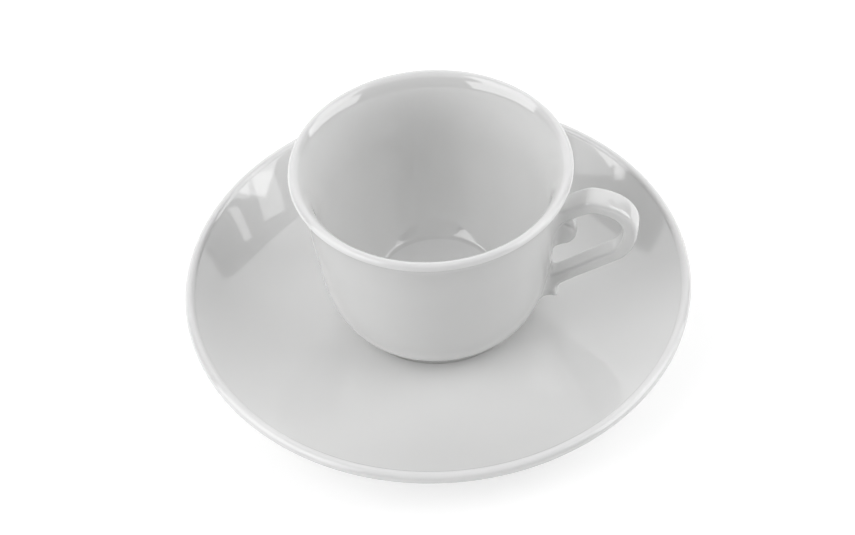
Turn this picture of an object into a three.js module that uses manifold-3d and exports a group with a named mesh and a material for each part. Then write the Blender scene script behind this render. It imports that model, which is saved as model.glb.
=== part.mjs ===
// A porcelain coffee cup standing on its saucer.
// Millimetres and degrees, +Z up. The origin is the middle of the saucer's standing face.
// The handle points along +X.
import * as THREE from "three";
import { mergeVertices } from "three/addons/utils/BufferGeometryUtils.js";
import Module from "manifold-3d";

const wasm = await Module();
wasm.setup();

// Saucer: a shallow dish with a rounded edge, on a foot ring
const SAUCER_RADIUS = 75; // axis to the outside of the edge
const SAUCER_HEIGHT = 21; // standing face to the top of the edge
const SAUCER_EDGE = 1.6; // radius of the rounded edge
const SAUCER_EDGE_SLOPE = 30; // rise of the dish where it meets the edge
const SAUCER_EDGE_PULL = 16; // how far in from the edge that slope is felt
const SAUCER_FLOOR = 4; // thickness under the well
const SAUCER_WALL = 3.9; // thickness of the rising part
const SAUCER_FOOT_RADIUS = 45; // outside of the foot ring
const SAUCER_FOOT_WIDTH = 4;
const SAUCER_FOOT_HEIGHT = 3.6;

// Well: the shallow place in the saucer where the cup stands
const WELL_DEPTH = 0.6;
const WELL_PLAY = 2.2; // room round the cup's foot ring
const WELL_SIDE = 1.4; // width of the well's sloping side
const WELL_PULL = 19; // how far out from the well the dish stays nearly level

// Cup: a deep bowl with a flared, rounded lip, on a foot ring
const CUP_HEIGHT = 57; // standing face to the top of the lip
const LIP_RADIUS = 39.5; // axis to the outside of the lip
const LIP_BEAD = 1.3; // radius of the rounded lip
const LIP_FLARE = 45; // slope of the wall where it runs into the lip
const LIP_FLARE_PULL = 4.6; // how far below the lip that slope is felt
const BELLY_RADIUS = 35.4; // outside of the wall
const BELLY_HEIGHT = 36; // height where that radius is measured
const BELLY_TAPER = 1.5; // how far the wall leans out over BELLY_PULL of height
const BELLY_PULL = 20;
const KNUCKLE_INSET = 2.4; // how far inside the belly the lower curve turns under
const CUP_WALL = 2.7; // thickness of the wall at the belly
const CUP_FLOOR = 4.2; // thickness of the floor
const DISC_RADIUS = 18.1; // pressed disc in the floor
const DISC_DEPTH = 0.3;
const CUP_FOOT_RADIUS = 22.8; // outside of the foot ring
const CUP_FOOT_WIDTH = 3.6;
const CUP_FOOT_HEIGHT = 2.6;
const CUP_REST_GAP = 0.3; // between the cup's standing face and the well

// Foot rings: how their sides draw in to the standing face
const FOOT_DRAFT = 0.5;
const FOOT_ROUND = 0.6;

// Handle: an ear of rounded strap, with a scroll under its upper root and a tail under its lower root
const STRAP_WIDTH_LOW = 5.4; // across the strap at its lower root
const STRAP_WIDTH_CREST = 7.4; // across the strap at its crest
const STRAP_THICKNESS = 3.8; // through the strap
const STRAP_EDGE = 1.5; // rounding of the strap's edges
const MOST_EDGE = 0.4; // most of the strap's width or thickness that a rounding may take
const UPPER_SPREAD = 2.4; // how much thicker the strap starts
const UPPER_SPREAD_LENGTH = 30; // length over which that fades
const LOWER_SPREAD = 1; // how much thicker the strap ends
const LOWER_SPREAD_LENGTH = 17; // length over which that grows
const ROOT_SINK = 7; // how far the roots run in past the belly before the wall cuts them
const HANDLE_REACH = 21.4; // belly to the strap's centre line at the far end
const UPPER_ROOT_DROP = 15; // top of the lip down to the upper root
const LOWER_ROOT_RISE = 16.9; // cup's standing face up to the lower root
const CREST_RISE = 6.8; // upper root up to the crest
const CREST_OUT = 9.8; // belly out to the crest
const CREST_PULL = 6.8; // how far past the crest the strap stays level
const SHOULDER_PULL = 2.3; // how far before the crest it is already level
const END_DROP = 8.3; // crest down to the far end
const END_PULL = 5; // how far above and below the far end the strap stays upright
const ELBOW_DROP = 10.1; // far end down to the elbow
const ELBOW_INSET = 4.5; // far end in to the elbow
const ELBOW_PULL = 4.6; // how far before the elbow the strap already lies along the lower arm
const SCROLL_RADIUS = 4.4;
const SCROLL_OUT = 1.1; // belly out to the scroll's middle
const SCROLL_LAP = 1; // how deep the scroll runs into the strap
const TAIL_WIDTH = 4.4;
const TAIL_LENGTH = 8.4; // lower root down to the tail's end
const TAIL_WAIST_INSET = 0.8; // belly in to the tail's narrowest place
const TAIL_TIP = 0.9; // belly out to the tail's tip
const TAIL_BLEND = 5; // length of the lower arm that the tail runs into
const SLIP_JOINT = 0.3; // layer of slip between the handle and the wall

// Fineness of the faceted surfaces
const TURN_STEPS = 60; // around the axis
const BEND_STEPS = 8; // along a bend of a profile
const BEAD_STEPS = 8; // round a lip or an edge
const STRAP_STEPS = 34; // along the handle
const EDGE_STEPS = 3; // round the strap's edges
const SAME_POINT = 1e-4; // points closer than this are one point

const GLAZE = { color: 0xf1f1ef, roughness: 0.12, metalness: 0 };
const BARE_CLAY = { color: 0xe4dfd6, roughness: 0.75, metalness: 0 };

const at = (across, up) => new THREE.Vector2(across, up);
const line = (from, to) => [new THREE.LineCurve(from, to), 1];
const bend = (from, pullFrom, pullTo, to) => {
  return [new THREE.CubicBezierCurve(from, pullFrom, pullTo, to), BEND_STEPS];
};

// The point on a circle at an angle in degrees.
function onCircle(centre, radius, degrees) {
  const turn = THREE.MathUtils.degToRad(degrees);
  return at(centre.x + radius * Math.cos(turn), centre.y + radius * Math.sin(turn));
}

// A step of a given length, the way a point on a circle moves as its angle grows.
function along(degrees, length) {
  const turn = THREE.MathUtils.degToRad(degrees);
  return at(-length * Math.sin(turn), length * Math.cos(turn));
}

function bead(centre, radius, fromDegrees, toDegrees) {
  const from = THREE.MathUtils.degToRad(fromDegrees);
  const to = THREE.MathUtils.degToRad(toDegrees);
  return [new THREE.ArcCurve(centre.x, centre.y, radius, from, to, false), BEAD_STEPS];
}

// Points along a chain of curves, each sampled in its own number of steps.
function outline(runs) {
  const points = [];
  for (const [curve, steps] of runs) {
    for (const point of curve.getPoints(steps)) {
      const last = points.at(-1);
      if (!last || last.distanceTo(point) > SAME_POINT) {
        points.push(point);
      }
    }
  }
  return points;
}

// A profile of radius and height, turned about the upright axis.
function turned(points) {
  return new THREE.LatheGeometry(points, TURN_STEPS).rotateX(Math.PI / 2);
}

function solidOf(geometry) {
  const bare = new THREE.BufferGeometry();
  bare.setAttribute("position", geometry.getAttribute("position"));
  bare.setIndex(geometry.index);
  const merged = mergeVertices(bare, SAME_POINT);
  const vertProperties = merged.getAttribute("position").array;
  const triVerts = new Uint32Array(merged.index.array);
  return new wasm.Manifold(new wasm.Mesh({ numProp: 3, vertProperties, triVerts }));
}

function geometryOf(solid) {
  const mesh = solid.getMesh();
  const geometry = new THREE.BufferGeometry();
  geometry.setAttribute("position", new THREE.BufferAttribute(mesh.vertProperties, 3));
  geometry.setIndex(new THREE.BufferAttribute(mesh.triVerts, 1));
  geometry.computeVertexNormals();
  return geometry;
}

function piece(name, geometry, finish) {
  const mesh = new THREE.Mesh(geometry, new THREE.MeshStandardMaterial(finish));
  mesh.name = name;
  return mesh;
}

// A foot ring, from its standing face at 0 up to the flat underside that it carries.
function footRing(radius, width, height) {
  const inner = radius - width;
  const corners = [
    at(inner + FOOT_DRAFT + FOOT_ROUND, 0),
    at(radius - FOOT_DRAFT - FOOT_ROUND, 0),
    at(radius - FOOT_DRAFT, FOOT_ROUND),
    at(radius, height),
    at(inner, height),
    at(inner + FOOT_DRAFT, FOOT_ROUND),
  ];
  return turned([...corners, corners[0]]);
}

// Saucer
const wellFloor = SAUCER_FOOT_HEIGHT + SAUCER_FLOOR;
const wellRadius = CUP_FOOT_RADIUS + WELL_PLAY;

function saucerDish() {
  const edge = at(SAUCER_RADIUS - SAUCER_EDGE, SAUCER_HEIGHT - SAUCER_EDGE);
  const topAngle = 90 + SAUCER_EDGE_SLOPE;
  const underAngle = SAUCER_EDGE_SLOPE - 90;
  const edgeTop = onCircle(edge, SAUCER_EDGE, topAngle);
  const edgeUnder = onCircle(edge, SAUCER_EDGE, underAngle);
  const foot = at(SAUCER_FOOT_RADIUS, SAUCER_FOOT_HEIGHT);
  const wellSide = at(wellRadius, wellFloor);
  const wellTop = at(wellRadius + WELL_SIDE, wellFloor + WELL_DEPTH);
  const levelPull = wellTop.clone().add(at(WELL_PULL, 0));
  const slopePull = edgeTop.clone().add(along(topAngle, SAUCER_EDGE_PULL));
  const slopeUnder = edgeUnder.clone().sub(along(underAngle, SAUCER_EDGE_PULL));
  // The underside follows the dish from below, and leaves the foot ring outwards.
  const levelUnder = at(Math.max(levelPull.x, foot.x) + SAUCER_WALL, foot.y);
  return turned(outline([
    line(at(0, SAUCER_FOOT_HEIGHT), foot),
    bend(foot, levelUnder, slopeUnder, edgeUnder),
    bead(edge, SAUCER_EDGE, underAngle, topAngle),
    bend(edgeTop, slopePull, levelPull, wellTop),
    line(wellTop, wellSide),
    line(wellSide, at(0, wellFloor)),
  ]));
}

// Cup, measured from its own standing face
const lip = at(LIP_RADIUS - LIP_BEAD, CUP_HEIGHT - LIP_BEAD);
const lipOutAngle = LIP_FLARE - 90;
const lipInAngle = LIP_FLARE + 90;
const bellyLean = at(BELLY_TAPER, BELLY_PULL);

function bowlOutside() {
  const foot = at(CUP_FOOT_RADIUS, CUP_FOOT_HEIGHT);
  const belly = at(BELLY_RADIUS, BELLY_HEIGHT);
  const lipOut = onCircle(lip, LIP_BEAD, lipOutAngle);
  const knuckle = at(BELLY_RADIUS - KNUCKLE_INSET, foot.y);
  const bellyTop = belly.clone().addScaledVector(bellyLean, (lipOut.y - belly.y) / BELLY_PULL / 2);
  const neck = lipOut.clone().sub(along(lipOutAngle, LIP_FLARE_PULL));
  return [
    line(at(0, CUP_FOOT_HEIGHT), foot),
    bend(foot, knuckle, belly.clone().sub(bellyLean), belly),
    bend(belly, bellyTop, neck, lipOut),
  ];
}

function bowlInside() {
  const belly = at(BELLY_RADIUS - CUP_WALL, BELLY_HEIGHT);
  const lipIn = onCircle(lip, LIP_BEAD, lipInAngle);
  const discFloor = CUP_FOOT_HEIGHT + CUP_FLOOR;
  const discTop = at(DISC_RADIUS + DISC_DEPTH, discFloor + DISC_DEPTH);
  const bellyTop = belly.clone().addScaledVector(bellyLean, (lipIn.y - belly.y) / BELLY_PULL / 2);
  const neck = lipIn.clone().add(along(lipInAngle, LIP_FLARE_PULL));
  const corner = at(BELLY_RADIUS - CUP_WALL - KNUCKLE_INSET, discTop.y);
  return [
    bend(lipIn, neck, bellyTop, belly),
    bend(belly, belly.clone().sub(bellyLean), corner, discTop),
    line(discTop, at(DISC_RADIUS, discFloor)),
    line(at(DISC_RADIUS, discFloor), at(0, discFloor)),
  ];
}

function cupBowl() {
  const rim = bead(lip, LIP_BEAD, lipOutAngle, lipInAngle);
  return turned(outline([...bowlOutside(), rim, ...bowlInside()]));
}

// The filled space of the bowl, grown by the slip joint, that trims the handle's roots.
function bowlSpace() {
  const grown = outline(bowlOutside()).map((point) => at(point.x + SLIP_JOINT, point.y));
  grown[0].x = 0;
  return solidOf(turned([...grown, at(0, grown.at(-1).y)]));
}

// Handle, drawn as an outline of reach and height and given its width by a rounded extrusion
const upperRoot = CUP_HEIGHT - UPPER_ROOT_DROP;
const crest = at(BELLY_RADIUS + CREST_OUT, upperRoot + CREST_RISE);
const farEnd = at(BELLY_RADIUS + HANDLE_REACH, crest.y - END_DROP);
const elbow = at(farEnd.x - ELBOW_INSET, farEnd.y - ELBOW_DROP);

const lowerRoot = at(BELLY_RADIUS, LOWER_ROOT_RISE);
const armWay = lowerRoot.clone().sub(elbow).normalize();
const armEnd = lowerRoot.clone().addScaledVector(armWay, -ROOT_SINK / armWay.x);

function strapCentreLine() {
  const climb = crest.clone().sub(at(BELLY_RADIUS, upperRoot));
  const start = crest.clone().addScaledVector(climb, -(CREST_OUT + ROOT_SINK) / CREST_OUT);
  const shoulder = at(crest.x - SHOULDER_PULL, crest.y);
  const crestPull = at(crest.x + CREST_PULL, crest.y);
  const endAbove = at(farEnd.x, farEnd.y + END_PULL);
  const endBelow = at(farEnd.x, farEnd.y - END_PULL);
  const elbowPull = elbow.clone().addScaledVector(armWay, -ELBOW_PULL);
  const path = new THREE.CurvePath();
  path.add(new THREE.QuadraticBezierCurve(start, shoulder, crest));
  path.add(new THREE.CubicBezierCurve(crest, crestPull, endAbove, farEnd));
  path.add(new THREE.CubicBezierCurve(farEnd, endBelow, elbowPull, elbow));
  path.add(new THREE.LineCurve(elbow, armEnd));
  return path;
}

// Half the strap's thickness at a distance from its two ends: even along the ear, thicker at the roots.
function halfThickness(fromStart, fromEnd) {
  const fade = (distance, length) => (1 + Math.cos(Math.PI * Math.min(distance / length, 1))) / 2;
  const upper = UPPER_SPREAD * fade(fromStart, UPPER_SPREAD_LENGTH);
  const lower = LOWER_SPREAD * fade(fromEnd, LOWER_SPREAD_LENGTH);
  return (STRAP_THICKNESS + upper + lower) / 2;
}

function strapShape() {
  const path = strapCentreLine();
  const length = path.getLength();
  const outside = [];
  const inside = [];
  for (let step = 0; step <= STRAP_STEPS; step++) {
    const share = step / STRAP_STEPS;
    const middle = path.getPointAt(share);
    const way = path.getTangentAt(share);
    const half = halfThickness(share * length, (1 - share) * length);
    const across = at(-way.y, way.x).multiplyScalar(half);
    outside.push(middle.clone().add(across));
    inside.unshift(middle.clone().sub(across));
  }
  return new THREE.Shape([...outside, ...inside]);
}

function scrollShape() {
  const shape = new THREE.Shape();
  const height = upperRoot - STRAP_THICKNESS / 2 + SCROLL_LAP - SCROLL_RADIUS;
  shape.absarc(BELLY_RADIUS + SCROLL_OUT, height, SCROLL_RADIUS, 0, 2 * Math.PI);
  return shape;
}

// The tail hangs from the lower arm's centre line and ends in a flat cut with a flared tip.
function tailShape() {
  const end = LOWER_ROOT_RISE - TAIL_LENGTH;
  const waist = at(BELLY_RADIUS - TAIL_WAIST_INSET, LOWER_ROOT_RISE - TAIL_LENGTH / 2);
  const tip = at(BELLY_RADIUS + TAIL_TIP, end);
  const arm = lowerRoot.clone().addScaledVector(armWay, -TAIL_BLEND);
  const under = arm.clone().addScaledVector(at(-armWay.y, armWay.x), STRAP_THICKNESS / 3);
  const shape = new THREE.Shape();
  shape.moveTo(armEnd.x, end);
  shape.lineTo(tip.x, tip.y);
  shape.quadraticCurveTo(waist.x, (tip.y + waist.y) / 2, waist.x, waist.y);
  shape.quadraticCurveTo(waist.x, lowerRoot.y - TAIL_BLEND / 4, under.x, under.y);
  shape.lineTo(arm.x, arm.y);
  shape.lineTo(armEnd.x, armEnd.y);
  return shape;
}

// Widens what lies in the handle's plane from the strap's width at the lower root to that at the crest.
function widened(geometry) {
  const place = geometry.getAttribute("position");
  for (let i = 0; i < place.count; i++) {
    const climb = THREE.MathUtils.clamp((place.getZ(i) - lowerRoot.y) / (crest.y - lowerRoot.y), 0, 1);
    const width = THREE.MathUtils.lerp(STRAP_WIDTH_LOW, STRAP_WIDTH_CREST, climb);
    place.setY(i, (place.getY(i) * width) / STRAP_WIDTH_LOW);
  }
  return geometry;
}

// An outline in the handle's plane, given its width across that plane, with rounded edges or square ones.
function flatSolid(shape, width, edge) {
  const geometry = new THREE.ExtrudeGeometry(shape, {
    depth: width - 2 * edge,
    curveSegments: BEND_STEPS,
    bevelEnabled: edge > 0,
    bevelThickness: edge,
    bevelSize: edge,
    bevelOffset: -edge,
    bevelSegments: EDGE_STEPS,
  });
  geometry.translate(0, 0, edge - width / 2);
  return solidOf(widened(geometry.rotateX(Math.PI / 2)));
}

function cupHandle() {
  const edge = Math.min(STRAP_EDGE, MOST_EDGE * STRAP_WIDTH_LOW, MOST_EDGE * STRAP_THICKNESS);
  const ear = flatSolid(strapShape(), STRAP_WIDTH_LOW, edge);
  const scroll = flatSolid(scrollShape(), STRAP_WIDTH_LOW, edge);
  const tail = flatSolid(tailShape(), TAIL_WIDTH, 0);
  return geometryOf(ear.add(scroll).add(tail).subtract(bowlSpace()));
}

const saucer = new THREE.Group();
saucer.add(piece("saucer_dish", saucerDish(), GLAZE));
saucer.add(piece("saucer_foot_ring",
  footRing(SAUCER_FOOT_RADIUS, SAUCER_FOOT_WIDTH, SAUCER_FOOT_HEIGHT), BARE_CLAY));

const cup = new THREE.Group();
cup.position.z = wellFloor + CUP_REST_GAP;
cup.add(piece("cup_bowl", cupBowl(), GLAZE));
cup.add(piece("cup_foot_ring", footRing(CUP_FOOT_RADIUS, CUP_FOOT_WIDTH, CUP_FOOT_HEIGHT), BARE_CLAY));
cup.add(piece("cup_handle", cupHandle(), GLAZE));

const cupWithSaucer = new THREE.Group();
cupWithSaucer.add(saucer, cup);

export default cupWithSaucer;
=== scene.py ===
"""A white porcelain coffee cup on its saucer, dressed in glaze and lit in a plain white studio.

Lengths are in millimetres until Blender takes them in metres, and angles are in degrees.
Heights of the cup's own shapes start at its standing face.
"""
import math

import bpy
import numpy as np
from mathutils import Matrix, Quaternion, Vector


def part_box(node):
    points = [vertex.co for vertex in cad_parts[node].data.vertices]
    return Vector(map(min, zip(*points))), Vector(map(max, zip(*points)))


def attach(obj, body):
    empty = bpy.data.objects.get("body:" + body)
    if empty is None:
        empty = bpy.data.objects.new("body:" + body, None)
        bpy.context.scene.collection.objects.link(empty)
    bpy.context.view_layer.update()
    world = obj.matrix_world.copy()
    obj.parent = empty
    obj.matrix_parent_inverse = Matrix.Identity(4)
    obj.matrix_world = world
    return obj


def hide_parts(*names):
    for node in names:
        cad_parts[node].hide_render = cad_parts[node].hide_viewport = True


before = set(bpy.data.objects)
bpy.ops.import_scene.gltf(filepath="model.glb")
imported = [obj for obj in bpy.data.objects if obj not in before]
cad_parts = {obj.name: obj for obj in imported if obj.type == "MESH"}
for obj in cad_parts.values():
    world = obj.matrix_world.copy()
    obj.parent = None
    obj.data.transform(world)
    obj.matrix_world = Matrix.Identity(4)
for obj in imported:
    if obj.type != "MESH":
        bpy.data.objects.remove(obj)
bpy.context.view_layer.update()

MM = 0.001

# Saucer: a shallow dish with a well for the cup and a rounded edge that rolls up a little
SAUCER_RADIUS = 75
SAUCER_HEIGHT = 21
SAUCER_EDGE = 1.6  # radius of the rounded edge
SAUCER_EDGE_SLOPE = 30  # slope of the dish at its edge
SAUCER_EDGE_PULL = 16  # how far in from the edge the dish keeps that slope
SAUCER_ROLL_TURN = 24  # how far the edge's round goes on past the slope
SAUCER_ROLL_HOLLOW = 1.2  # radius of the hollow that leads from the edge into the slope
SAUCER_FLOOR = 4  # thickness under the well
SAUCER_WALL = 3.9  # how much further out the underside turns up than the top
SAUCER_FOOT_RADIUS = 45
SAUCER_FOOT_WIDTH = 4
SAUCER_FOOT_HEIGHT = 3.6
WELL_RADIUS = 25
WELL_DEPTH = 0.6
WELL_SIDE = 1.4  # width of the well's soft side
WELL_PULL = 19  # how far out from the well the dish stays level

# Cup: a deep bowl with a flared, rounded lip and a pressed disc in its floor
CUP_HEIGHT = 57
LIP_RADIUS = 39.5
LIP_BEAD = 1.3  # radius of the lip's rounding
LIP_FLARE_OUT = 30  # slope of the flare outside, under the lip
LIP_FLARE_IN = 42  # slope of the flare inside
LIP_FLARE_PULL = 4.6  # how far the flare keeps its slope
BELLY_RADIUS = 35.4
BELLY_HEIGHT = 36
BELLY_TAPER = 1.5  # how far the wall leans out at the belly, over the length of the next value
BELLY_PULL = 20
KNUCKLE_INSET = 2.4  # belly in to where the wall turns towards the foot
CUP_WALL = 2.7
CUP_FLOOR = 4.2
DISC_RADIUS = 18.1
DISC_FILLET = 2.2
INSIDE_RISE = 38  # slope of the inside where it leaves the disc
INSIDE_PULL = 9  # how far it keeps that slope
INSIDE_BELLY_PULL = 0.6  # pull of the inside under the belly, as a share of the outside's
CUP_FOOT_RADIUS = 22.8
CUP_FOOT_WIDTH = 3.6
CUP_FOOT_HEIGHT = 2.6

# Foot rings
FOOT_DRAFT = 0.5  # how far each side leans in on its way down
FOOT_ROUND = 0.6  # rounding at the standing face
FOOT_FILLET = 0.9  # fillet to what the ring carries
FOOT_SINK = 0.4  # how far the ring runs up into it

# Handle: an ear of strap with a scroll under its upper root and a tail under its lower root
STRAP_WIDTH_LOW = 5.4  # across the strap at its lower root
STRAP_WIDTH_CREST = 7.4  # across the strap at its crest
STRAP_THICKNESS = 3.7
STRAP_EDGE = 1  # rounding of the strap's edges
STRAP_CROWN = 0.35  # how far the strap's outer face bulges
UPPER_SPREAD = 0.5  # how much thicker the strap starts
UPPER_SPREAD_LENGTH = 30  # length over which that fades
LOWER_SPREAD = 0.3  # how much thicker the strap ends
LOWER_SPREAD_LENGTH = 17  # length over which that grows
ROOT_SINK = 7  # belly in to the ends of the strap's centre line
HANDLE_REACH = 20.8  # belly to the strap's centre line at the far end
UPPER_ROOT_DROP = 15  # top of the lip down to the upper root
LOWER_ROOT_RISE = 16.9  # cup's standing face up to the lower root
CREST_RISE = 6.8  # upper root up to the crest
CREST_OUT = 9.8  # belly out to the crest
CREST_PULL = 7.2  # how far past the crest the strap stays level
SHOULDER_PULL = 2.3  # crest back to the corner between the climb and the level
SHOULDER_SHARE = 2 / 3  # how far towards that corner the rising strap is pulled
END_DROP = 8.3  # crest down to the far end
END_PULL = 4.4  # how far above and below the far end the strap stays upright
ELBOW_DROP = 10.1  # far end down to the elbow
ELBOW_INSET = 3.9  # far end in to the elbow
ELBOW_PULL = 3.4  # how far before the elbow the strap already lies along the lower arm
SCROLL_RADIUS = 5
SCROLL_WIDTH = 4.8
SCROLL_EDGE = 2  # rounding of the scroll's edges
SCROLL_OUT = 0.9  # belly out to the scroll's middle
SCROLL_LAP = 1.2  # how deep the scroll runs into the strap
SCROLL_FILLET = 1.6
TAIL_LENGTH = 7.1  # lower root down to the tail's end
TAIL_WIDTH = 5.6
TAIL_EDGE = 1.3  # rounding of the tail's edges
TAIL_WAIST = 0.75  # belly out to the tail's narrowest place
TAIL_TIP = 1.4  # belly out to the tail's tip
TAIL_NECK = 0.5  # lower root down to where the tail starts to bend out to the arm
TAIL_BLEND = 5  # length of the lower arm that the tail runs into
TAIL_UNDER = STRAP_THICKNESS / 3  # centre line of the arm down to where the tail meets it
TAIL_FILLET = 1.5
WALL_FILLET = 3
FLANGE_REACH = 3.4  # how far the fillet to the wall spreads round the roots
FLANGE_DEPTH = 0.9  # how deep the handle reaches into the wall
FLANGE_UNDER_GLAZE = 0.012  # how far the fillet ends under the wall's surface

# Fineness of the meshes
TURN_STEPS = 240  # round a turned piece
BEND_STEPS = 40  # along a bend
BEAD_STEPS = 20  # round a bead
FLAT_STEPS = 10  # along a straight line or a small bend
STRAP_STEPS = 360  # along the strap's centre line
HANDLE_CELL = 0.28  # cell of the grid that the handle's surface is found on
HANDLE_MARGIN = 4 * HANDLE_CELL  # room on that grid beyond the handle
RELAX_STEPS = (0.5, -0.52)  # shares of the way to the middle of a point's neighbours
RELAX_ROUNDS = 4
SAME_POINT = 1e-4

# Glaze: noise has a scale per metre and a detail, and relief a strength and a depth
GLAZE_IOR = 1.8
GLAZE_PALE = (0.82, 0.82, 0.815, 1)
GLAZE_DEEP = (0.785, 0.787, 0.785, 1)
# Painted light: a whiter glaze colour that stands in for the light falling on the saucer's rim, the cup's lip
# and the cup's floor disc
PAINTED_LIGHT_COLOUR = (0.87, 0.87, 0.87, 1)
GLAZE_SPECK = (0.42, 0.4, 0.37, 1)
GLAZE_ROUGHNESS = (0.02, 0.06)
TONE_NOISE = (28, 2)
WAVE_NOISE = (55, 1)
WAVE_RELIEF = (0.4, 0.1)
PEEL_NOISE = (700, 2)
PEEL_RELIEF = (0.35, 0.004)
SPECK_SCALE = 190
SPECK_SIZE = 0.035  # radius of a speck, as a share of its cell
SPECK_SHARE = 0.035  # share of the cells that hold one
RIM_PAINTED_LIGHT = 3.2  # width of the painted light on the saucer's rim, a whiter glaze that stands in for the light falling on it
LIP_PAINTED_LIGHT = 3  # width and height of the painted light on the cup's lip, a whiter glaze
DISC_PAINTED_LIGHT = 1  # height above and below the disc's face that holds its painted light, a whiter glaze
EDGE_FADE = 0.5  # length over which the painted light's whiter glaze starts

# Bare clay on the foot rings, below the line where their glaze ends
CLAY_PALE = (0.74, 0.7, 0.63, 1)
CLAY_DEEP = (0.6, 0.55, 0.47, 1)
CLAY_ROUGHNESS = (0.65, 0.85)
GRAIN_NOISE = (2600, 4)
GRAIN_RELIEF = (0.5, 0.04)
GLAZE_LINE = (0.45, 0.6)  # heights over which the glaze starts
GLAZE_LINE_NOISE = (700 / 3, 2)
GLAZE_LINE_WOBBLE = 0.25

# Camera, whose sight is a point above the middle of the floor under the saucer
CAMERA_AZIMUTH = 14
CAMERA_ELEVATION = 47.75
CAMERA_DISTANCE = 441.8
CAMERA_ROLL = -3.79
CAMERA_LENS = 62.6
CAMERA_SENSOR = 36
SIGHT_HEIGHT = 21.55
SIGHT_SIDE = -0.97  # how far the camera and its sight stand to the right
SIGHT_TURN = -1.69  # how much further to the right the sight stands than the camera

# Floor, which glows more far from the object, so that it fades into white
FLOOR_SIZE = 40000
FLOOR_COLOUR = (0.77, 0.77, 0.77, 1)
FLOOR_GLOW = 0.46
FAR_FLOOR_GLOW = 1
FAR_FLOOR_START = 500
FAR_FLOOR_END = 1600

# Surround: edges are angles from no glow to the full glow
ROOM_GLOW = 0.01
WALL_GLOW = 1.15
WALL_SIDE = (40, 38)
WALL_TOP = (66, 58)
LOW_WALL_SIDE = (58, 50)
LOW_WALL_TOP = (38.5, 36.5)
CEILING_GLOW = 0.57
CEILING_EDGE = (38, 26)
CEILING_TILT = 18

# Lamps: azimuth to the right of straight away, elevation, width and height as angles, and glow
LAMP_DISTANCE = 1200
LAMPS = {
    "lamp_left_low": (-114, 23, (56, 26), 2.55),
    "lamp_left_high": (-103, 49, (44, 26), 2.4),
    "lamp_right_low": (97, 23, (50, 26), 2.6),
    "lamp_right_high": (92, 49, (36, 26), 2.2),
    "window_left_high": (-74, 58, (17, 10), 1),
    "window_left_low": (-64, 53, (8, 2.5), 2),
    "window_right_near": (69, 51.5, (12, 6), 1.4),
    "window_right_far": (57.5, 58.2, (13, 5), 1.4),
    "window_right_low": (49.5, 50, (9, 2.2), 1.5),
}


# Profiles of radius and height
def straight(start, end):
    share = np.linspace(0, 1, FLAT_STEPS + 1)[:, None]
    return np.asarray(start) * (1 - share) + np.asarray(end) * share


def bend(start, pull_start, pull_end, end, steps=BEND_STEPS):
    """A Bezier curve between two points, each with the point that it is pulled towards."""
    t = np.linspace(0, 1, steps + 1)[:, None]
    a, b, c, d = (np.asarray(point, float) for point in (start, pull_start, pull_end, end))
    return (1 - t) ** 3 * a + 3 * t * (1 - t) ** 2 * b + 3 * t * t * (1 - t) * c + t ** 3 * d


def rounding(start, corner, end):
    """A small bend with both of its ends pulled towards one corner."""
    return bend(start, corner, corner, end, FLAT_STEPS)


def on_circle(centre, radius, degrees):
    turn = math.radians(degrees)
    return np.array([centre[0] + radius * math.cos(turn), centre[1] + radius * math.sin(turn)])


def along(degrees, length):
    """A step of a given length, the way a point on a circle moves as its angle grows."""
    turn = math.radians(degrees)
    return np.array([-length * math.sin(turn), length * math.cos(turn)])


def bead(centre, radius, start, end):
    return np.array([on_circle(centre, radius, a) for a in np.linspace(start, end, BEAD_STEPS + 1)])


def joined(*runs):
    """One line of points out of several runs, without the points that repeat."""
    points = []
    for point in np.concatenate(runs):
        if not points or np.linalg.norm(point - points[-1]) > SAME_POINT:
            points.append(point)
    return np.array(points)


def saucer_profile():
    """The dish, from the middle of its underside round the edge to the middle of its well."""
    edge = np.array([SAUCER_RADIUS - SAUCER_EDGE, SAUCER_HEIGHT - SAUCER_EDGE])
    top = 90 + SAUCER_EDGE_SLOPE
    under = SAUCER_EDGE_SLOPE - 90
    roll = top + SAUCER_ROLL_TURN
    hollow = on_circle(edge, SAUCER_EDGE + SAUCER_ROLL_HOLLOW, roll)
    slope_top = on_circle(hollow, SAUCER_ROLL_HOLLOW, top - 180)
    edge_under = on_circle(edge, SAUCER_EDGE, under)
    foot = np.array([SAUCER_FOOT_RADIUS, SAUCER_FOOT_HEIGHT])
    well = SAUCER_FOOT_HEIGHT + SAUCER_FLOOR
    well_side = np.array([WELL_RADIUS, well])
    well_top = np.array([WELL_RADIUS + WELL_SIDE, well + WELL_DEPTH])
    level_pull = well_top + [WELL_PULL, 0]
    slope_pull = slope_top + along(top, SAUCER_EDGE_PULL)
    slope_under = edge_under - along(under, SAUCER_EDGE_PULL)
    level_under = [max(level_pull[0], foot[0]) + SAUCER_WALL, foot[1]]
    middle = (well_side + well_top) / 2
    return joined(
        straight([0, SAUCER_FOOT_HEIGHT], foot),
        bend(foot, level_under, slope_under, edge_under),
        bead(edge, SAUCER_EDGE, under, roll),
        bead(hollow, SAUCER_ROLL_HOLLOW, roll - 180, top - 180),
        bend(slope_top, slope_pull, level_pull, well_top),
        bend(well_top, [middle[0], well_top[1]], [middle[0], well_side[1]], well_side, FLAT_STEPS),
        straight(well_side, [0, well]),
    )


LIP = np.array([LIP_RADIUS - LIP_BEAD, CUP_HEIGHT - LIP_BEAD])
LIP_OUT_ANGLE = LIP_FLARE_OUT - 90
LIP_IN_ANGLE = LIP_FLARE_IN + 90
BELLY_LEAN = np.array([BELLY_TAPER, BELLY_PULL])


def above_belly(belly, lip):
    """The belly's upper pull, half way up to the lip and leaning as the belly does."""
    return belly + BELLY_LEAN * (lip[1] - belly[1]) / BELLY_PULL / 2


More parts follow.
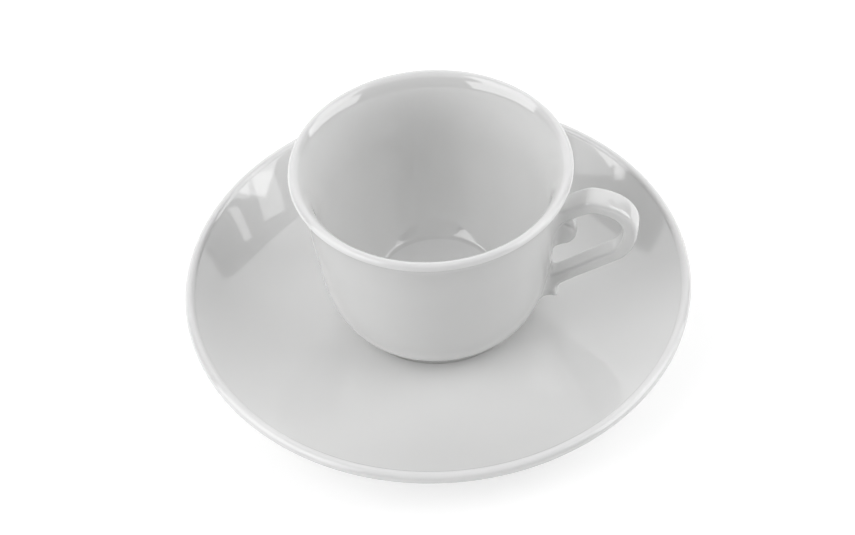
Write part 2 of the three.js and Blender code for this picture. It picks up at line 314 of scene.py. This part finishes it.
def bowl_outside():
    foot = np.array([CUP_FOOT_RADIUS, CUP_FOOT_HEIGHT])
    belly = np.array([BELLY_RADIUS, BELLY_HEIGHT])
    lip_out = on_circle(LIP, LIP_BEAD, LIP_OUT_ANGLE)
    neck = lip_out - along(LIP_OUT_ANGLE, LIP_FLARE_PULL)
    return joined(
        straight([0, CUP_FOOT_HEIGHT], foot),
        bend(foot, [BELLY_RADIUS - KNUCKLE_INSET, foot[1]], belly - BELLY_LEAN, belly),
        bend(belly, above_belly(belly, lip_out), neck, lip_out),
    )


def bowl_inside():
    belly = np.array([BELLY_RADIUS - CUP_WALL, BELLY_HEIGHT])
    lip_in = on_circle(LIP, LIP_BEAD, LIP_IN_ANGLE)
    neck = lip_in + along(LIP_IN_ANGLE, LIP_FLARE_PULL)
    floor = CUP_FOOT_HEIGHT + CUP_FLOOR
    disc_round = np.array([DISC_RADIUS, floor + DISC_FILLET])
    disc_top = on_circle(disc_round, DISC_FILLET, INSIDE_RISE - 90)
    corner = on_circle(disc_top, INSIDE_PULL, INSIDE_RISE)
    return joined(
        bend(lip_in, neck, above_belly(belly, lip_in), belly),
        bend(belly, belly - BELLY_LEAN * INSIDE_BELLY_PULL, corner, disc_top),
        bead(disc_round, DISC_FILLET, INSIDE_RISE - 90, -90),
        straight([DISC_RADIUS, floor], [0, floor]),
    )


def bowl_profile():
    return joined(bowl_outside(), bead(LIP, LIP_BEAD, LIP_OUT_ANGLE, LIP_IN_ANGLE), bowl_inside())


def foot_profile(radius, width, height):
    """A foot ring, from its standing face up into what it carries, with a fillet at the top of each side."""
    inner = radius - width
    outer_side = [radius - FOOT_DRAFT, FOOT_ROUND]
    inner_side = [inner + FOOT_DRAFT, FOOT_ROUND]
    outer_floor = [radius - FOOT_DRAFT - FOOT_ROUND, 0]
    inner_floor = [inner + FOOT_DRAFT + FOOT_ROUND, 0]
    outer_top = [radius, height - FOOT_FILLET]
    inner_top = [inner, height - FOOT_FILLET]
    outer_end = [radius + FOOT_FILLET, height]
    inner_end = [inner - FOOT_FILLET, height]
    return joined(
        straight(inner_floor, outer_floor),
        rounding(outer_floor, [outer_side[0], 0], outer_side),
        straight(outer_side, outer_top),
        rounding(outer_top, [radius, height], outer_end),
        straight(outer_end, [radius, height + FOOT_SINK]),
        straight([radius, height + FOOT_SINK], [inner, height + FOOT_SINK]),
        straight([inner, height + FOOT_SINK], inner_end),
        rounding(inner_end, [inner, height], inner_top),
        straight(inner_top, inner_side),
        rounding(inner_side, [inner_side[0], 0], inner_floor)[:-1],
    )


# Meshes
def mesh_piece(name, points, faces, material):
    mesh = bpy.data.meshes.new(name)
    mesh.from_pydata([tuple(point) for point in np.asarray(points) * MM], [], faces)
    mesh.polygons.foreach_set("use_smooth", [True] * len(mesh.polygons))
    mesh.materials.append(material)
    mesh.update()
    piece = bpy.data.objects.new(name, mesh)
    bpy.context.scene.collection.objects.link(piece)
    return piece


def turned(profile, base, closed=False):
    """Points and faces of a profile turned about the upright axis. An open profile starts and ends on it."""
    turns = np.linspace(0, 2 * math.pi, TURN_STEPS, endpoint=False)
    ring = profile if closed else profile[1:-1]
    points = [
        [radius * math.cos(turn), radius * math.sin(turn), base + height]
        for radius, height in ring
        for turn in turns
    ]
    rows = len(ring)
    faces = []
    for row in range(rows if closed else rows - 1):
        low, high = row * TURN_STEPS, (row + 1) % rows * TURN_STEPS
        for step in range(TURN_STEPS):
            after = (step + 1) % TURN_STEPS
            faces.append((low + step, low + after, high + after, high + step))
    if not closed:
        first, last = len(points), len(points) + 1
        points.append([0, 0, base + profile[0][1]])
        points.append([0, 0, base + profile[-1][1]])
        top = (rows - 1) * TURN_STEPS
        for step in range(TURN_STEPS):
            after = (step + 1) % TURN_STEPS
            faces.append((first, after, step))
            faces.append((last, top + step, top + after))
    return points, faces


# Handle, as a field of distances on a grid, negative inside
UPPER_ROOT = CUP_HEIGHT - UPPER_ROOT_DROP
CREST = np.array([BELLY_RADIUS + CREST_OUT, UPPER_ROOT + CREST_RISE])
FAR_END = np.array([BELLY_RADIUS + HANDLE_REACH, CREST[1] - END_DROP])
ELBOW = FAR_END - [ELBOW_INSET, ELBOW_DROP]
LOWER_ROOT = np.array([BELLY_RADIUS, LOWER_ROOT_RISE])
ARM_WAY = (LOWER_ROOT - ELBOW) / np.linalg.norm(LOWER_ROOT - ELBOW)
ARM_END = LOWER_ROOT - ARM_WAY * ROOT_SINK / ARM_WAY[0]


def strap_line():
    """Evenly spaced centre line of the strap, from the upper root to the lower, and the way to each point."""
    climb = CREST - [BELLY_RADIUS, UPPER_ROOT]
    start = CREST - climb * (CREST_OUT + ROOT_SINK) / CREST_OUT
    shoulder = CREST - [SHOULDER_PULL, 0]
    rising_pull = start + (shoulder - start) * SHOULDER_SHARE
    level_pull = CREST + (shoulder - CREST) * SHOULDER_SHARE
    rising = bend(start, rising_pull, level_pull, CREST)
    falling = bend(CREST, CREST + [CREST_PULL, 0], FAR_END + [0, END_PULL], FAR_END)
    returning = bend(FAR_END, FAR_END - [0, END_PULL], ELBOW - ARM_WAY * ELBOW_PULL, ELBOW)
    line = joined(rising, falling, returning, straight(ELBOW, ARM_END))
    reach = np.concatenate([[0], np.cumsum(np.linalg.norm(np.diff(line, axis=0), axis=1))])
    even = np.linspace(0, reach[-1], STRAP_STEPS + 1)
    return np.column_stack([np.interp(even, reach, line[:, 0]), np.interp(even, reach, line[:, 1])]), even


def fade(distance, length):
    """1 at no distance, falling smoothly to 0 over a length."""
    return (1 + np.cos(np.pi * np.minimum(distance / length, 1))) / 2


def strap_field(x, z):
    """How far each place in the handle's plane is outside the strap, and on which side of its centre line."""
    line, reach = strap_line()
    half = STRAP_THICKNESS + UPPER_SPREAD * fade(reach, UPPER_SPREAD_LENGTH)
    half = (half + LOWER_SPREAD * fade(reach[-1] - reach, LOWER_SPREAD_LENGTH)) / 2
    way = np.gradient(line, axis=0)
    way /= np.linalg.norm(way, axis=1)[:, None]
    away = np.stack([x, z], -1)[..., None, :] - line
    distance = np.linalg.norm(away, axis=-1)
    nearest = distance.argmin(-1)
    offset = np.take_along_axis(away, nearest[..., None, None], -2)[..., 0, :]
    side = np.sign(offset[..., 1] * way[nearest, 0] - offset[..., 0] * way[nearest, 1])
    return distance.min(-1) - half[nearest], side


def outline_field(points, x, z):
    """How far each place is outside a closed outline."""
    distance = np.full(x.shape, np.inf)
    inside = np.zeros(x.shape, bool)
    for (ax, az), (bx, bz) in zip(points, np.roll(points, -1, axis=0)):
        ex, ez = bx - ax, bz - az
        share = np.clip(((x - ax) * ex + (z - az) * ez) / (ex * ex + ez * ez), 0, 1)
        distance = np.minimum(distance, np.hypot(x - ax - share * ex, z - az - share * ez))
        if az != bz:
            crosses = (az > z) != (bz > z)
            inside ^= crosses & (x < ax + (z - az) / (bz - az) * ex)
    return np.where(inside, -distance, distance)


def tail_outline():
    """The tail in the handle's plane, from its end up to the lower arm and down again inside the wall."""
    end = LOWER_ROOT_RISE - TAIL_LENGTH
    waist = np.array([BELLY_RADIUS + TAIL_WAIST, LOWER_ROOT_RISE - TAIL_LENGTH / 2])
    tip = np.array([BELLY_RADIUS + TAIL_TIP, end])
    arm = LOWER_ROOT - ARM_WAY * TAIL_BLEND
    under = arm + np.array([-ARM_WAY[1], ARM_WAY[0]]) * TAIL_UNDER
    return joined(
        [[ARM_END[0], end]],
        bend(tip, [waist[0], tip[1]], waist, waist, FLAT_STEPS),
        bend(waist, [waist[0], LOWER_ROOT[1] - TAIL_NECK], under, under, FLAT_STEPS),
        [arm, ARM_END],
    )


def rounded(flat, across, edge):
    """A shape with one outline in its plane and another across it, with its edges rounded."""
    flat, across = flat + edge, across + edge
    outside = np.hypot(np.maximum(flat, 0), np.maximum(across, 0))
    return outside + np.minimum(np.maximum(flat, across), 0) - edge


def blended(a, b, reach):
    """Two shapes joined with a fillet."""
    share = np.maximum(reach - np.abs(a - b), 0) / reach
    return np.minimum(a, b) - share * share * reach / 4


def bowl_field(x, y, z):
    """How far each place is outside the cup's outer wall."""
    wall = bowl_outside()[FLAT_STEPS:]
    radius = np.interp(z, wall[:, 1], wall[:, 0])
    lean = np.interp(z, wall[1:, 1], np.diff(wall[:, 0]) / np.diff(wall[:, 1]))
    return (np.hypot(x, y) - radius) / np.hypot(1, lean)


def handle_field(x, y, z):
    """How far each place is outside the handle and the fillet that joins it to the cup's wall."""
    plane_x, plane_z = x[:, 0, :], z[:, 0, :]
    climb = np.clip((z - LOWER_ROOT[1]) / (CREST[1] - LOWER_ROOT[1]), 0, 1)
    half_width = (STRAP_WIDTH_LOW + (STRAP_WIDTH_CREST - STRAP_WIDTH_LOW) * climb) / 2
    strap, side = strap_field(plane_x, plane_z)
    crown = STRAP_CROWN * np.clip(1 - (y / half_width) ** 2, 0, 1) * np.clip(side, 0, 1)[:, None, :]
    ear = rounded(strap[:, None, :] - crown, np.abs(y) - half_width, STRAP_EDGE)
    scroll_height = UPPER_ROOT - STRAP_THICKNESS / 2 + SCROLL_LAP - SCROLL_RADIUS
    circle = np.hypot(plane_x - BELLY_RADIUS - SCROLL_OUT, plane_z - scroll_height) - SCROLL_RADIUS
    scroll = rounded(circle[:, None, :], np.abs(y) - SCROLL_WIDTH / 2, SCROLL_EDGE)
    outline = outline_field(tail_outline(), plane_x, plane_z)
    tail = rounded(outline[:, None, :], np.abs(y) - TAIL_WIDTH / 2, TAIL_EDGE)
    handle = blended(blended(ear, scroll, SCROLL_FILLET), tail, TAIL_FILLET)
    wall = bowl_field(x, y, z)
    joined_up = blended(handle, wall + FLANGE_UNDER_GLAZE, WALL_FILLET)
    return np.maximum(np.maximum(joined_up, -wall - FLANGE_DEPTH), handle - FLANGE_REACH)


def cell_corner(grid, shift):
    """The values at one corner of each cell of a grid, with the corner given by its step along each axis."""
    return grid[tuple(slice(start, start + count - 1) for start, count in zip(shift, grid.shape))]


def surface_net(field, low, cell):
    """Points and faces of the surface where a field on a grid is zero.

    Each cell that it passes through holds a point, the mean of where it crosses the cell's edges.
    Each edge of the grid that it crosses has a face, between the points of the four cells around it.
    """
    inside = field < 0
    shape = np.array(field.shape) - 1
    shifts = [np.array(shift) for shift in np.ndindex(2, 2, 2)]
    total = np.zeros((*shape, 3))
    hits = np.zeros(shape)
    for axis in range(3):
        step = np.eye(3, dtype=int)[axis]
        for shift in (s for s in shifts if s[axis] == 0):
            a, b = cell_corner(field, shift), cell_corner(field, shift + step)
            crossing = (a < 0) != (b < 0)
            share = np.where(crossing, a / np.where(crossing, a - b, 1), 0)
            total += np.where(crossing[..., None], shift + share[..., None] * step, 0)
            hits += crossing
    used = hits > 0
    number = np.full(shape, -1)
    number[used] = np.arange(used.sum())
    points = low + (np.argwhere(used) + total[used] / hits[used][:, None]) * cell
    faces = []
    for axis in range(3):
        right, up = np.roll(np.eye(3, dtype=int), -axis, axis=0)[1:]
        first = inside[tuple(slice(0, -1) if n == axis else slice(None) for n in range(3))]
        second = inside[tuple(slice(1, None) if n == axis else slice(None) for n in range(3))]
        for leaving in (True, False):
            edges = np.argwhere((first != second) & (first == leaving))
            quad = [number[tuple((edges - back).T)] for back in (right + up, up, 0 * up, right)]
            faces.append(np.column_stack(quad if leaving else quad[::-1]))
    return points, np.concatenate(faces)


def relaxed(points, faces):
    """Evens the points out: each moves towards the middle of its neighbours and then a bit further back."""
    pairs = np.concatenate([faces[:, [n, (n + 1) % 4]] for n in range(4)])
    pairs = np.concatenate([pairs, pairs[:, ::-1]])
    count = np.bincount(pairs[:, 0], minlength=len(points))[:, None]
    for step in RELAX_STEPS * RELAX_ROUNDS:
        middle = np.zeros_like(points)
        np.add.at(middle, pairs[:, 0], points[pairs[:, 1]])
        points = points + step * (middle / count - points)
    return points


def handle_shape(base):
    low = np.array([BELLY_RADIUS - ROOT_SINK, -STRAP_WIDTH_CREST / 2, LOWER_ROOT_RISE - TAIL_LENGTH])
    high = np.array([FAR_END[0], STRAP_WIDTH_CREST / 2, CREST[1]])
    room = max(FLANGE_REACH, STRAP_THICKNESS) + HANDLE_MARGIN
    low, high = low - room, high + room
    steps = [np.arange(a, b, HANDLE_CELL) for a, b in zip(low, high)]
    field = handle_field(*np.meshgrid(*steps, indexing="ij"))
    points, faces = surface_net(field, low, HANDLE_CELL)
    return relaxed(points, faces) + [0, 0, base], faces.tolist()


# Nodes of the materials and the world
class Nodes:
    """A node tree with a short way to add a node and fill its sockets."""

    def __init__(self, tree):
        self.tree = tree
        tree.nodes.clear()

    def add(self, kind, settings=(), **sockets):
        node = self.tree.nodes.new("ShaderNode" + kind)
        for key, value in dict(settings).items():
            setattr(node, key, value)
        for key, value in sockets.items():
            self.put(node, key.replace("_", " "), value)
        return node

    def put(self, node, socket, value):
        """Fills a socket, given by its name or its number, with a value or with another node's output."""
        target = node.inputs[socket]
        if isinstance(value, bpy.types.NodeSocket):
            self.tree.links.new(value, target)
        else:
            target.default_value = value


def math_node(nodes, operation, *values):
    node = nodes.add("Math", {"operation": operation})
    for socket, value in enumerate(values):
        nodes.put(node, socket, value)
    return node.outputs[0]


def vector_node(nodes, operation, *values):
    node = nodes.add("VectorMath", {"operation": operation})
    for socket, value in enumerate(values):
        nodes.put(node, socket, value)
    return node.outputs


def length_of(nodes, vector):
    return vector_node(nodes, "LENGTH", vector)["Value"]


def along_way(nodes, way, towards):
    """How far a direction goes along another."""
    return vector_node(nodes, "DOT_PRODUCT", way, towards)["Value"]


def ranged(nodes, value, start, end, low=0, high=1, blend="LINEAR"):
    """Goes from low to high as a value goes from start to end, and stays there outside them."""
    return nodes.add(
        "MapRange", {"interpolation_type": blend}, Value=value,
        From_Min=start, From_Max=end, To_Min=low, To_Max=high,
    ).outputs[0]


def mixed_colour(nodes, share, first, second):
    """A mix of two colours, which a Mix node takes in its sockets 6 and 7 and gives in its output 2."""
    node = nodes.add("Mix", {"data_type": "RGBA"}, Factor=share)
    nodes.put(node, 6, first)
    nodes.put(node, 7, second)
    return node.outputs[2]


def noise(nodes, place, scale, detail):
    return nodes.add("TexNoise", Vector=place, Scale=scale, Detail=detail).outputs[0]


def relief(nodes, height, strength, depth, **normal):
    """A normal that follows small heights, on top of another normal where one is given."""
    return nodes.add("Bump", Height=height, Strength=strength, Distance=depth * MM, **normal).outputs[0]


# Materials
def glaze_nodes(nodes, place):
    """Colour, roughness and normal of a clear glaze over white porcelain."""
    tone = noise(nodes, place, *TONE_NOISE)
    wave = noise(nodes, place, *WAVE_NOISE)
    peel = noise(nodes, place, *PEEL_NOISE)
    cells = nodes.add("TexVoronoi", Vector=place, Scale=SPECK_SCALE)
    near = math_node(nodes, "LESS_THAN", cells.outputs["Distance"], SPECK_SIZE)
    picked = nodes.add("SeparateColor", Color=cells.outputs["Color"]).outputs[0]
    rare = math_node(nodes, "LESS_THAN", picked, SPECK_SHARE)
    speck = math_node(nodes, "MULTIPLY", near, rare)
    body = mixed_colour(nodes, tone, GLAZE_PALE, GLAZE_DEEP)
    colour = mixed_colour(nodes, speck, body, GLAZE_SPECK)
    roughness = ranged(nodes, tone, 0, 1, *GLAZE_ROUGHNESS)
    rolling = relief(nodes, wave, *WAVE_RELIEF)
    normal = relief(nodes, peel, *PEEL_RELIEF, Normal=rolling)
    return colour, roughness, normal


def new_material(name):
    material = bpy.data.materials.new(name)
    material.use_nodes = True
    nodes = Nodes(material.node_tree)
    place = nodes.add("TexCoord").outputs["Object"]
    shader = nodes.add("BsdfPrincipled", IOR=GLAZE_IOR)
    nodes.add("OutputMaterial", Surface=shader.outputs[0])
    return material, nodes, place, shader


def within(nodes, value, low, high):
    """1 where a value lies between two lengths, fading to 0 over a short way inside them."""
    above = ranged(nodes, value, low * MM, (low + EDGE_FADE) * MM)
    below = ranged(nodes, value, high * MM, (high - EDGE_FADE) * MM)
    return math_node(nodes, "MULTIPLY", above, below)


def glaze_material(name, painted_light_places):
    """Glaze with painted light: whiter in some places, as a stand-in for the light that falls there, each
    given by its range of radius and its range of height.
    """
    material, nodes, place, shader = new_material(name)
    colour, roughness, normal = glaze_nodes(nodes, place)
    level = nodes.add("SeparateXYZ", Vector=place).outputs[2]
    radius = length_of(nodes, vector_node(nodes, "MULTIPLY", place, (1, 1, 0))["Vector"])
    for radii, heights in painted_light_places:
        across = within(nodes, radius, *radii)
        share = math_node(nodes, "MULTIPLY", across, within(nodes, level, *heights))
        # Painted light: each place is mixed towards the whiter colour that stands in for the light there
        colour = mixed_colour(nodes, share, colour, PAINTED_LIGHT_COLOUR)
    nodes.put(shader, "Base Color", colour)
    nodes.put(shader, "Roughness", roughness)
    nodes.put(shader, "Normal", normal)
    return material


def foot_material(name, base):
    """Glaze on the sides of a foot ring, and bare ground clay on its standing face."""
    material, nodes, place, shader = new_material(name)
    colour, roughness, normal = glaze_nodes(nodes, place)
    height = nodes.add("SeparateXYZ", Vector=place).outputs[2]
    wobble = noise(nodes, place, *GLAZE_LINE_NOISE)
    ragged = ranged(nodes, wobble, 0, 1, -GLAZE_LINE_WOBBLE * MM, GLAZE_LINE_WOBBLE * MM)
    level = math_node(nodes, "ADD", height, ragged)
    glazed = ranged(nodes, level, *((base + line) * MM for line in GLAZE_LINE))
    grain = noise(nodes, place, *GRAIN_NOISE)
    clay = mixed_colour(nodes, grain, CLAY_PALE, CLAY_DEEP)
    clay_roughness = ranged(nodes, grain, 0, 1, *CLAY_ROUGHNESS)
    nodes.put(shader, "Base Color", mixed_colour(nodes, glazed, clay, colour))
    nodes.put(shader, "Roughness", ranged(nodes, glazed, 0, 1, clay_roughness, roughness))
    nodes.put(shader, "Normal", relief(nodes, grain, *GRAIN_RELIEF, Normal=normal))
    return material


# The object
cup_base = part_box("cup_foot_ring")[0].z / MM
cup_top = cup_base + CUP_HEIGHT
cup_floor = cup_base + CUP_FOOT_HEIGHT + CUP_FLOOR
# Painted light: the saucer's rim, the cup's lip and the disc in the cup's floor get a whiter glaze that
# stands in for the light falling on them
painted_rim_light = (
    (SAUCER_RADIUS - RIM_PAINTED_LIGHT, SAUCER_RADIUS + EDGE_FADE),
    (-EDGE_FADE, SAUCER_HEIGHT + EDGE_FADE),
)
painted_lip_light = (
    (LIP_RADIUS - LIP_PAINTED_LIGHT, LIP_RADIUS + EDGE_FADE),
    (cup_top - LIP_PAINTED_LIGHT, cup_top + EDGE_FADE),
)
painted_disc_light = (
    (-EDGE_FADE, DISC_RADIUS),
    (cup_floor - DISC_PAINTED_LIGHT, cup_floor + DISC_PAINTED_LIGHT),
)
saucer_glaze = glaze_material("saucer_glaze", [painted_rim_light])
cup_glaze = glaze_material("cup_glaze", [painted_lip_light, painted_disc_light])


def dress(name, shape, material, node, body):
    """Makes a piece that is shown for a node of the part and moves with the node's body."""
    piece = mesh_piece(name, *shape, material)
    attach(piece, body)
    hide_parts(node)


dress("glazed_saucer", turned(saucer_profile(), 0), saucer_glaze, "saucer_dish", "saucer")
dress("glazed_bowl", turned(bowl_profile(), cup_base), cup_glaze, "cup_bowl", "cup")
dress("glazed_handle", handle_shape(cup_base), cup_glaze, "cup_handle", "cup")
saucer_ring = foot_profile(SAUCER_FOOT_RADIUS, SAUCER_FOOT_WIDTH, SAUCER_FOOT_HEIGHT)
cup_ring = foot_profile(CUP_FOOT_RADIUS, CUP_FOOT_WIDTH, CUP_FOOT_HEIGHT)
dress(
    "saucer_foot", turned(saucer_ring, 0, closed=True), foot_material("saucer_foot_clay", 0),
    "saucer_foot_ring", "saucer",
)
dress(
    "cup_foot", turned(cup_ring, cup_base, closed=True), foot_material("cup_foot_clay", cup_base),
    "cup_foot_ring", "cup",
)

# Studio: a white floor, a pale surround and soft lamps, placed as the camera sees them
camera_turn = math.radians(CAMERA_AZIMUTH)
right_way = Vector((math.cos(camera_turn), math.sin(camera_turn), 0))
away_way = Vector((-math.sin(camera_turn), math.cos(camera_turn), 0))
up_way = Vector((0, 0, 1))


def seen(right, away, up):
    """A place in metres, given in millimetres as the camera sees it from the middle of the floor."""
    return (right_way * right + away_way * away + up_way * up) * MM


def make_camera():
    data = bpy.data.cameras.new("camera")
    data.lens = CAMERA_LENS
    data.sensor_width = CAMERA_SENSOR
    camera = bpy.data.objects.new("camera", data)
    lift = math.radians(CAMERA_ELEVATION)
    back = CAMERA_DISTANCE * math.cos(lift)
    camera.location = seen(SIGHT_SIDE, -back, SIGHT_HEIGHT + CAMERA_DISTANCE * math.sin(lift))
    way = seen(SIGHT_SIDE + SIGHT_TURN, 0, SIGHT_HEIGHT) - camera.location
    roll = Quaternion((0, 0, 1), math.radians(CAMERA_ROLL))
    camera.rotation_mode = "QUATERNION"
    camera.rotation_quaternion = way.to_track_quat("-Z", "Y") @ roll
    bpy.context.scene.collection.objects.link(camera)
    bpy.context.scene.camera = camera


def seen_directly(nodes):
    """1 for what the camera sees itself, in a reflection or through glass, and otherwise 0."""
    path = nodes.add("LightPath").outputs
    seen_or_mirrored = math_node(nodes, "MAXIMUM", path["Is Camera Ray"], path["Is Glossy Ray"])
    return math_node(nodes, "MAXIMUM", seen_or_mirrored, path["Is Transmission Ray"])


def floor_material():
    material = bpy.data.materials.new("white_floor")
    material.use_nodes = True
    nodes = Nodes(material.node_tree)
    reach = length_of(nodes, nodes.add("TexCoord").outputs["Object"])
    far = (FAR_FLOOR_START * MM, FAR_FLOOR_END * MM)
    level = ranged(nodes, reach, *far, FLOOR_GLOW, FAR_FLOOR_GLOW)
    matte = nodes.add("BsdfDiffuse", Color=FLOOR_COLOUR)
    glow = nodes.add("Emission", Strength=math_node(nodes, "MULTIPLY", seen_directly(nodes), level))
    both = nodes.add("AddShader")
    nodes.put(both, 0, matte.outputs[0])
    nodes.put(both, 1, glow.outputs[0])
    nodes.add("OutputMaterial", Surface=both.outputs[0])
    return material


def make_floor():
    half = FLOOR_SIZE / 2
    corners = [(-half, -half, 0), (half, -half, 0), (half, half, 0), (-half, half, 0)]
    floor = mesh_piece("floor", corners, [(0, 1, 2, 3)], floor_material())


def soft_step(nodes, value, nothing, full):
    return ranged(nodes, value, nothing, full, blend="SMOOTHSTEP")


def wall_share(nodes, way, side, top):
    """How much of a direction lies within an upright wall behind the object, with soft sides and top."""
    azimuth = math_node(nodes, "ARCTAN2", along_way(nodes, way, right_way), along_way(nodes, way, away_way))
    aside = math_node(nodes, "ABSOLUTE", azimuth)
    between = soft_step(nodes, aside, *(math.radians(angle) for angle in side))
    height = along_way(nodes, way, up_way)
    under = soft_step(nodes, height, *(math.sin(math.radians(angle)) for angle in top))
    return math_node(nodes, "MULTIPLY", between, under)


def make_surround():
    """A white wall behind the object, a pale ceiling over the camera's side, and a dim room around them."""
    world = bpy.data.worlds.new("surround")
    world.use_nodes = True
    nodes = Nodes(world.node_tree)
    way = nodes.add("TexCoord").outputs["Generated"]
    high = wall_share(nodes, way, WALL_SIDE, WALL_TOP)
    low = wall_share(nodes, way, LOW_WALL_SIDE, LOW_WALL_TOP)
    wall = ranged(nodes, math_node(nodes, "MAXIMUM", high, low), 0, 1, ROOM_GLOW, WALL_GLOW)
    tilt = math.radians(CEILING_TILT)
    ceiling_way = up_way * math.cos(tilt) - away_way * math.sin(tilt)
    nearness = along_way(nodes, way, ceiling_way)
    outer, inner = (math.cos(math.radians(angle)) for angle in CEILING_EDGE)
    glow = ranged(nodes, nearness, outer, inner, wall, CEILING_GLOW, "SMOOTHSTEP")
    sky = nodes.add("Background", Strength=glow)
    nodes.add("OutputWorld", Surface=sky.outputs[0])
    bpy.context.scene.world = world


def make_lamp(name, azimuth, elevation, span, glow):
    """A soft lamp that faces the middle of the floor, with its place and size as angles seen from there.

    Glow is its brightness as seen in a mirror.
    """
    data = bpy.data.lights.new(name, "AREA")
    data.shape = "RECTANGLE"
    data.size, data.size_y = (2 * LAMP_DISTANCE * MM * math.tan(math.radians(side) / 2) for side in span)
    data.energy = glow * math.pi * data.size * data.size_y
    lamp = bpy.data.objects.new(name, data)
    turn, lift = math.radians(azimuth), math.radians(elevation)
    out = LAMP_DISTANCE * math.cos(lift)
    lamp.location = seen(out * math.sin(turn), out * math.cos(turn), LAMP_DISTANCE * math.sin(lift))
    lamp.rotation_mode = "QUATERNION"
    lamp.rotation_quaternion = (-lamp.location).to_track_quat("-Z", "Y")
    bpy.context.scene.collection.objects.link(lamp)


make_camera()
make_floor()
make_surround()
for name, lamp in LAMPS.items():
    make_lamp(name, *lamp)
bpy.context.scene.view_settings.view_transform = "Standard"
